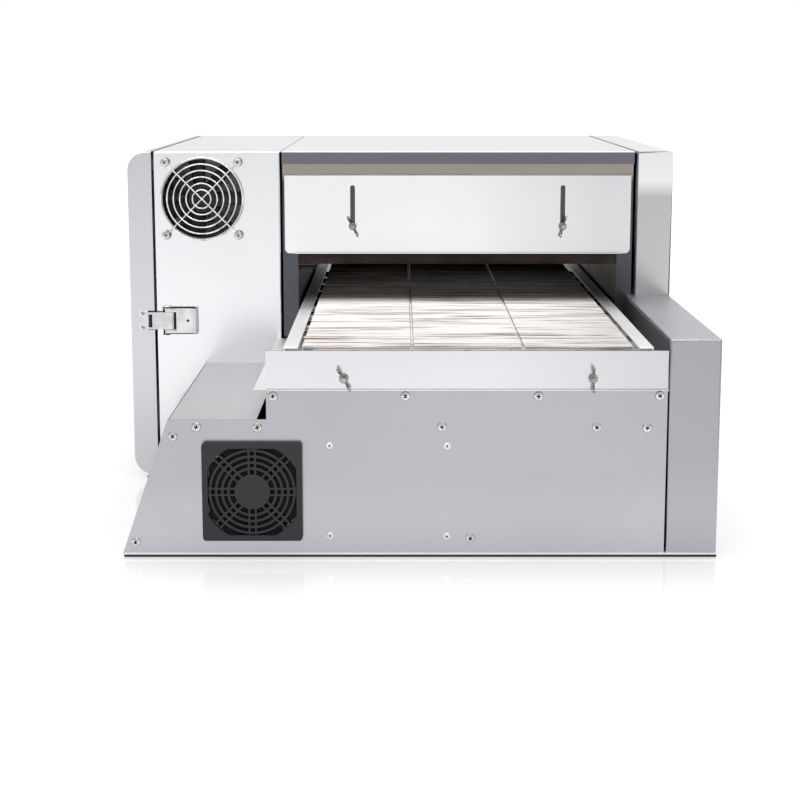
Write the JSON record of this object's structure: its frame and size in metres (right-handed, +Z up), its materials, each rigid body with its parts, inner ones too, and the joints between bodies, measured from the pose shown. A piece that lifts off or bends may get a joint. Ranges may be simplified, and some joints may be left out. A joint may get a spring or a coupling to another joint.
{
  "type": "conveyor reflow oven",
  "caption": "Bench-top conveyor oven: a stainless heated tunnel with a wire belt running through it, hinged door, sliding baffles, fans and a slanted control console.",
  "frame": {"origin": "middle of the footprint on the bench", "axes": "+Z up, Y along the belt with the console end at -Y, X from the door at -X to the rear cover at +X"},
  "size_m": [0.79, 1.605, 0.484],
  "materials": {
    "satin_stainless": "satin brushed stainless sheet",
    "dark_stainless": "heat-tinted stainless",
    "belt_wire": "stainless wire, heat-tinted",
    "turned_steel": "turned steel, oiled",
    "bright_wire": "bright plated",
    "black_plastic": "moulded, fine grain",
    "foot_rubber": "moulded rubber",
    "bearing_bronze": "sintered bronze",
    "motor_paint": "dark enamel",
    "supply_case": "plain sheet case",
    "control_face": "satin black coating",
    "display_glass": "smoked acrylic window",
    "green_key": "moulded, glossy",
    "red_key": "moulded, glossy"
  },
  "bodies": {
    "chassis": {"base_plate": "satin_stainless", "near_end_panel": "satin_stainless", "far_end_panel": "satin_stainless", "near_console_cover": "satin_stainless", "far_console_cover": "satin_stainless", "rear_channel": "satin_stainless", "left_housing": "satin_stainless", "hinge_housing_leaves": "satin_stainless", "hood_top": "satin_stainless", "near_end_wall": "satin_stainless", "far_end_wall": "satin_stainless", "rear_cover": "satin_stainless", "near_end_cover": "satin_stainless", "far_end_cover": "satin_stainless", "conveyor_decks": "satin_stainless", "belt_rails": "satin_stainless", "tunnel_liner": "dark_stainless", "heaters": "dark_stainless", "tunnel_probe": "dark_stainless", "belt_upper_run": "belt_wire", "belt_lower_run": "belt_wire", "belt_wraps": "belt_wire", "belt_supports": "turned_steel", "wing_studs": "turned_steel", "latch_base": "turned_steel", "upper_fan_guard": "bright_wire", "upper_fan_frame": "black_plastic", "lower_fan_frame": "black_plastic", "filter_guard": "black_plastic", "cable_gland": "black_plastic", "feet": "foot_rubber", "shaft_bearings": "bearing_bronze", "drive_motor": "motor_paint", "power_supply": "supply_case", "relay_block": "supply_case", "control_plate": "control_face", "display_window": "display_glass"},
    "door": {"door": "satin_stainless", "hinge_door_leaves": "satin_stainless", "latch_keeper": "turned_steel"},
    "latch_lever": {"latch_lever": "turned_steel"},
    "latch_claw": {"latch_claw": "turned_steel"},
    "near_baffle": {"near_baffle": "satin_stainless"},
    "far_baffle": {"far_baffle": "satin_stainless"},
    "drive_shaft": {"drive_shaft": "turned_steel"},
    "idler_shaft": {"idler_shaft": "turned_steel"},
    "upper_fan_impeller": {"upper_fan_impeller": "black_plastic"},
    "lower_fan_impeller": {"lower_fan_impeller": "black_plastic"},
    "power_switch": {"power_switch": "black_plastic"},
    "start_button": {"start_button": "green_key"},
    "stop_button": {"stop_button": "red_key"},
    "speed_knob": {"speed_knob": "black_plastic"},
    "near_baffle_nut_left": {"near_baffle_nut_left": "bright_wire"},
    "near_baffle_nut_right": {"near_baffle_nut_right": "bright_wire"},
    "near_cover_nut_left": {"near_cover_nut_left": "bright_wire"},
    "near_cover_nut_right": {"near_cover_nut_right": "bright_wire"},
    "far_baffle_nut_left": {"far_baffle_nut_left": "bright_wire"},
    "far_baffle_nut_right": {"far_baffle_nut_right": "bright_wire"},
    "far_cover_nut_left": {"far_cover_nut_left": "bright_wire"},
    "far_cover_nut_right": {"far_cover_nut_right": "bright_wire"}
  },
  "joints": [
    {"name": "door_hinge", "type": "hinge", "parent": "chassis", "child": "door", "pos_m": [-0.358, 0.3513, 0.2453], "axis": [0, 0, -1], "range_deg": [0, 100]},
    {"name": "latch_lever_hinge", "type": "hinge", "parent": "chassis", "child": "latch_lever", "pos_m": [-0.3415, -0.35, 0.2385], "axis": [0, 0, -1], "range_deg": [0, 110]},
    {"name": "latch_claw_pivot", "type": "hinge", "parent": "latch_lever", "child": "latch_claw", "pos_m": [-0.3335, -0.35, 0.2385], "axis": [0, 0, -1], "range_deg": [-110, 0]},
    {"name": "near_baffle_slide", "type": "slide", "parent": "chassis", "child": "near_baffle", "axis": [0, 0, 1], "range_m": [-0.05, 0]},
    {"name": "far_baffle_slide", "type": "slide", "parent": "chassis", "child": "far_baffle", "axis": [0, 0, 1], "range_m": [-0.05, 0]},
    {"name": "near_baffle_nut_left_turn", "type": "hinge", "parent": "chassis", "child": "near_baffle_nut_left", "pos_m": [-0.069, -0.3405, 0.3755], "axis": [0, 1, 0], "continuous": true},
    {"name": "near_baffle_nut_right_turn", "type": "hinge", "parent": "chassis", "child": "near_baffle_nut_right", "pos_m": [0.237, -0.3405, 0.3755], "axis": [0, 1, 0], "continuous": true},
    {"name": "near_cover_nut_left_turn", "type": "hinge", "parent": "chassis", "child": "near_cover_nut_left", "pos_m": [-0.069, -0.789, 0.2265], "axis": [0, 1, 0], "continuous": true},
    {"name": "near_cover_nut_right_turn", "type": "hinge", "parent": "chassis", "child": "near_cover_nut_right", "pos_m": [0.237, -0.789, 0.2265], "axis": [0, 1, 0], "continuous": true},
    {"name": "far_baffle_nut_left_turn", "type": "hinge", "parent": "chassis", "child": "far_baffle_nut_left", "pos_m": [-0.069, 0.3405, 0.3755], "axis": [0, 1, 0], "continuous": true},
    {"name": "far_baffle_nut_right_turn", "type": "hinge", "parent": "chassis", "child": "far_baffle_nut_right", "pos_m": [0.237, 0.3405, 0.3755], "axis": [0, 1, 0], "continuous": true},
    {"name": "far_cover_nut_left_turn", "type": "hinge", "parent": "chassis", "child": "far_cover_nut_left", "pos_m": [-0.069, 0.789, 0.2265], "axis": [0, 1, 0], "continuous": true},
    {"name": "far_cover_nut_right_turn", "type": "hinge", "parent": "chassis", "child": "far_cover_nut_right", "pos_m": [0.237, 0.789, 0.2265], "axis": [0, 1, 0], "continuous": true},
    {"name": "drive_shaft_spin", "type": "hinge", "parent": "chassis", "child": "drive_shaft", "pos_m": [0.084, 0.753, 0.24], "axis": [1, 0, 0], "continuous": true},
    {"name": "idler_shaft_spin", "type": "hinge", "parent": "chassis", "child": "idler_shaft", "pos_m": [0.084, -0.753, 0.24], "axis": [1, 0, 0], "continuous": true},
    {"name": "upper_fan_spin", "type": "hinge", "parent": "chassis", "child": "upper_fan_impeller", "pos_m": [-0.287, -0.331, 0.416], "axis": [0, 1, 0], "continuous": true},
    {"name": "lower_fan_spin", "type": "hinge", "parent": "chassis", "child": "lower_fan_impeller", "pos_m": [-0.183, -0.771, 0.085], "axis": [0, 1, 0], "continuous": true},
    {"name": "power_switch_rock", "type": "hinge", "parent": "chassis", "child": "power_switch", "pos_m": [-0.31362, -0.69, 0.0922], "axis": [0, -1, 0], "range_deg": [0, 16]},
    {"name": "start_button_press", "type": "slide", "parent": "chassis", "child": "start_button", "axis": [0.9447, 0, -0.3279], "range_m": [0, 0.003], "stiffness_N_per_m": 400},
    {"name": "stop_button_press", "type": "slide", "parent": "chassis", "child": "stop_button", "axis": [0.9447, 0, -0.3279], "range_m": [0, 0.003], "stiffness_N_per_m": 400},
    {"name": "speed_knob_turn", "type": "hinge", "parent": "chassis", "child": "speed_knob", "pos_m": [-0.32306, -0.4484, 0.09548], "axis": [-0.9447, 0, 0.3279], "range_deg": [-270, 0]}
  ],
  "couplings": [
    {"joint": "idler_shaft_spin", "follows": "drive_shaft_spin", "ratio": 1},
    {"joint": "latch_claw_pivot", "follows": "latch_lever_hinge", "ratio": -1}
  ]
}
